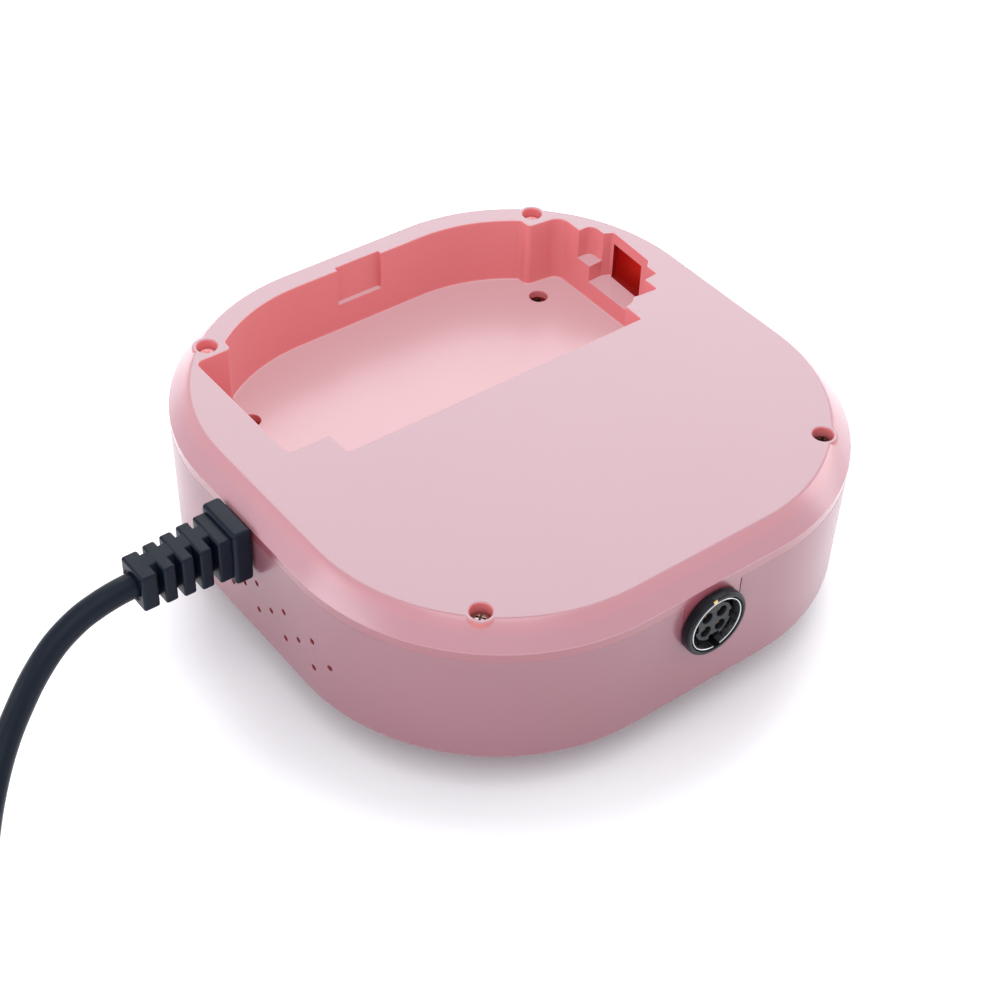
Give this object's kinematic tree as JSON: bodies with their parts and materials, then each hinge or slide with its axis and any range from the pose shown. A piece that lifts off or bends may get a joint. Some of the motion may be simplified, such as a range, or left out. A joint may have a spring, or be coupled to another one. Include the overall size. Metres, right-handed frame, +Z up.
{
  "type": "electric nail drill control unit",
  "caption": "Rounded square desktop control box of an electric nail drill, lying base up, with a pocket in its base cover, a round handpiece socket and a coiled mains lead.",
  "frame": {"origin": "on the table, under the middle of the box measured with its handpiece socket and without its mains lead", "axes": "+Z up, out of the base cover's flat face; -Y out of the wall with the handpiece socket; -X out of the wall with the mains lead"},
  "size_m": [0.3119, 0.1404, 0.0464],
  "materials": {
    "pink_plastic": "smooth injection-moulded plastic, soft pink, fairly glossy",
    "black_plastic": "moulded black plastic with a fine satin surface",
    "lead_plastic": "flexible black PVC, satin, slightly blue",
    "display_glass": "smoked clear plastic, polished",
    "white_plastic": "plain white moulded nylon",
    "aluminium_trim": "turned aluminium with a fluted grip",
    "steel_hardware": "zinc-plated steel, lightly scratched",
    "dark_hardware": "dark browned steel",
    "circuit_board": "green solder mask on fibreglass",
    "enamelled_copper": "enamelled copper wire",
    "lamination_steel": "stacked varnished steel sheets",
    "brass_contact": "bright turned brass",
    "tie_fabric": "black woven hook-and-loop strap"
  },
  "bodies": {
    "case": {"base_cover": "pink_plastic", "main_housing": "pink_plastic", "case_screw_1": "steel_hardware", "case_screw_2": "steel_hardware", "case_screw_3": "steel_hardware", "case_screw_4": "steel_hardware", "pocket_screw_1": "dark_hardware", "pocket_screw_2": "dark_hardware", "display_lens": "display_glass", "display_hub": "black_plastic", "display_module": "white_plastic", "encoder_body": "steel_hardware", "tact_switch_1": "black_plastic", "tact_switch_2": "black_plastic", "tact_switch_3": "black_plastic", "control_board": "circuit_board", "power_board": "circuit_board", "transformer_core": "lamination_steel", "transformer_winding": "enamelled_copper", "transformer_frame": "steel_hardware", "capacitor_1": "black_plastic", "capacitor_2": "black_plastic", "bridge_rectifier": "black_plastic", "heat_sink": "aluminium_trim", "power_transistor": "black_plastic", "fuse": "white_plastic", "terminal_block": "white_plastic", "control_board_screw_1": "steel_hardware", "control_board_screw_2": "steel_hardware", "control_board_screw_3": "steel_hardware", "control_board_screw_4": "steel_hardware", "power_board_screw_1": "steel_hardware", "power_board_screw_2": "steel_hardware", "transformer_screw_1": "steel_hardware", "transformer_screw_2": "steel_hardware", "socket_bezel": "black_plastic", "socket_shield": "steel_hardware", "socket_insulator": "black_plastic", "socket_contact_1": "brass_contact", "socket_contact_2": "brass_contact", "socket_contact_3": "brass_contact", "socket_contact_4": "brass_contact", "socket_nut": "steel_hardware", "strain_relief": "lead_plastic", "mains_lead": "lead_plastic", "lead_coil": "lead_plastic", "coil_tie": "tie_fabric", "lead_tail": "lead_plastic", "mains_plug": "lead_plastic", "plug_pin_1": "brass_contact", "plug_pin_2": "brass_contact", "mains_core_1": "enamelled_copper", "mains_core_2": "enamelled_copper"},
    "speed_dial": {"speed_ring": "aluminium_trim", "ring_gear": "white_plastic"},
    "encoder_wheel": {"encoder_pinion": "white_plastic"},
    "mode_key": {"mode_button": "black_plastic"},
    "power_key": {"power_button": "black_plastic"},
    "direction_key": {"direction_button": "black_plastic"}
  },
  "joints": [
    {"name": "speed_dial_turn", "type": "hinge", "parent": "case", "child": "speed_dial", "pos_m": [0, 0.0012, 0.009], "axis": [0, 0, 1], "continuous": true},
    {"name": "encoder_turn", "type": "hinge", "parent": "case", "child": "encoder_wheel", "pos_m": [0.0361, 0.0012, 0.0125], "axis": [0, 0, 1], "continuous": true},
    {"name": "mode_press", "type": "slide", "parent": "case", "child": "mode_key", "axis": [0, 0, 1], "range_m": [0, 0.001], "stiffness_N_per_m": 400, "springref_m": -0.001},
    {"name": "power_press", "type": "slide", "parent": "case", "child": "power_key", "axis": [0, 0, 1], "range_m": [0, 0.001], "stiffness_N_per_m": 400, "springref_m": -0.001},
    {"name": "direction_press", "type": "slide", "parent": "case", "child": "direction_key", "axis": [0, 0, 1], "range_m": [0, 0.001], "stiffness_N_per_m": 400, "springref_m": -0.001}
  ],
  "couplings": [
    {"joint": "encoder_turn", "follows": "speed_dial_turn", "ratio": -5}
  ]
}
